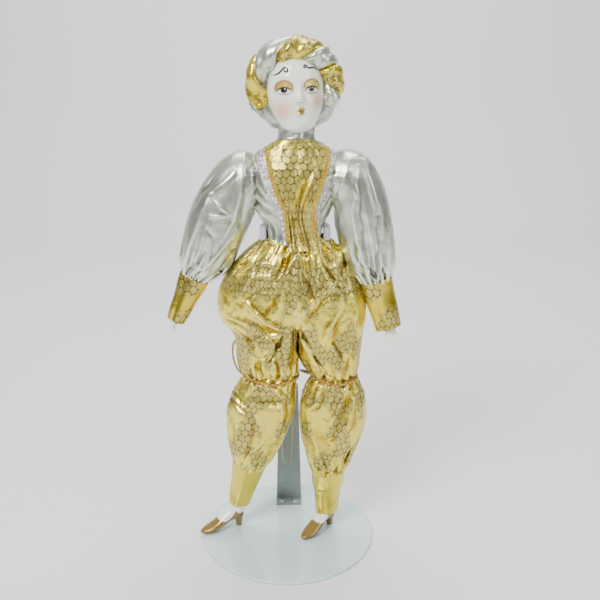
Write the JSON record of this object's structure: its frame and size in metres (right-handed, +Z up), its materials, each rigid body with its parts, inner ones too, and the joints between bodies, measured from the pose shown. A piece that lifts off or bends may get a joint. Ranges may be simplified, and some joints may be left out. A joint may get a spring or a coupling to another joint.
{
  "type": "porcelain doll",
  "caption": "Jointed soft-bodied porcelain doll in a gold and silver turban costume, held at the waist by a clip on a round metal stand.",
  "frame": {"origin": "centre of the base plate's underside", "axes": "+Z up, the doll faces -Y, its right arm is towards -X"},
  "size_m": [0.1874, 0.14, 0.3912],
  "materials": {
    "stand_enamel": "gloss",
    "bar_enamel": "gloss",
    "rivet_steel": "satin",
    "clip_steel": "gloss",
    "vinyl": "satin",
    "porcelain": "gloss",
    "muslin": "matte",
    "gold_lame": "satin",
    "silver_lame": "satin",
    "silver_satin": "satin",
    "gold_braid": "satin",
    "silver_lace": "satin",
    "gold_cord": "satin",
    "gold_thread": "satin"
  },
  "bodies": {
    "stand": {"base_plate": "stand_enamel", "stand_post": "stand_enamel", "post_rivets": "rivet_steel"},
    "clip_bar": {"height_bar": "bar_enamel", "waist_clip": "clip_steel", "clip_rivet": "rivet_steel", "clip_tip_right": "vinyl", "clip_tip_left": "vinyl"},
    "doll_body": {"porcelain_head": "porcelain", "stuffed_body": "muslin", "turban_gold_roll": "gold_lame", "turban_silver_roll": "silver_lame", "turban_cap": "silver_satin", "bodice": "silver_lame", "front_panel": "gold_lame", "gold_braids": "gold_braid", "lace_frills": "silver_lace", "collar": "silver_satin", "trouser_seat": "gold_lame", "thread_loop": "gold_thread"},
    "upper_arm_right": {"upper_arm_right": "muslin", "sleeve_upper_right": "silver_lame"},
    "forearm_right": {"porcelain_arm_right": "porcelain", "sleeve_lower_right": "silver_lame", "wrist_cuff_right": "gold_lame"},
    "thigh_right": {"stuffed_thigh_right": "muslin", "trouser_thigh_right": "gold_lame", "knee_tie_right": "gold_cord", "tie_bow_right": "gold_cord"},
    "lower_leg_right": {"porcelain_leg_right": "porcelain", "trouser_calf_right": "gold_lame", "ankle_cuff_right": "gold_lame"},
    "upper_arm_left": {"upper_arm_left": "muslin", "sleeve_upper_left": "silver_lame"},
    "forearm_left": {"porcelain_arm_left": "porcelain", "sleeve_lower_left": "silver_lame", "wrist_cuff_left": "gold_lame"},
    "thigh_left": {"stuffed_thigh_left": "muslin", "trouser_thigh_left": "gold_lame", "knee_tie_left": "gold_cord", "tie_bow_left": "gold_cord"},
    "lower_leg_left": {"porcelain_leg_left": "porcelain", "trouser_calf_left": "gold_lame", "ankle_cuff_left": "gold_lame"}
  },
  "joints": [
    {"name": "bar_height", "type": "slide", "parent": "stand", "child": "clip_bar", "axis": [0, 0, 1], "range_m": [0, 0.05]},
    {"name": "doll_release", "type": "slide", "parent": "clip_bar", "child": "doll_body", "axis": [0, -1, 0], "range_m": [0, 0.09]},
    {"name": "shoulder_right", "type": "hinge", "parent": "doll_body", "child": "upper_arm_right", "pos_m": [-0.03, 0, 0.297], "axis": [-1, 0, 0], "range_deg": [-15, 90]},
    {"name": "elbow_right", "type": "hinge", "parent": "upper_arm_right", "child": "forearm_right", "pos_m": [-0.057, 0.001, 0.244], "axis": [-1, 0, 0], "range_deg": [0, 70]},
    {"name": "hip_right", "type": "hinge", "parent": "doll_body", "child": "thigh_right", "pos_m": [-0.013, 0.004, 0.208], "axis": [-1, 0, 0], "range_deg": [0, 60]},
    {"name": "knee_right", "type": "hinge", "parent": "thigh_right", "child": "lower_leg_right", "pos_m": [-0.014, 0, 0.128], "axis": [1, 0, 0], "range_deg": [0, 40]},
    {"name": "shoulder_left", "type": "hinge", "parent": "doll_body", "child": "upper_arm_left", "pos_m": [0.0424, 0, 0.297], "axis": [-1, 0, 0], "range_deg": [-15, 90]},
    {"name": "elbow_left", "type": "hinge", "parent": "upper_arm_left", "child": "forearm_left", "pos_m": [0.0598, 0.001, 0.24], "axis": [-1, 0, 0], "range_deg": [0, 70]},
    {"name": "hip_left", "type": "hinge", "parent": "doll_body", "child": "thigh_left", "pos_m": [0.037, 0.004, 0.208], "axis": [-1, 0, 0], "range_deg": [0, 60]},
    {"name": "knee_left", "type": "hinge", "parent": "thigh_left", "child": "lower_leg_left", "pos_m": [0.037, 0, 0.128], "axis": [1, 0, 0], "range_deg": [0, 40]}
  ]
}
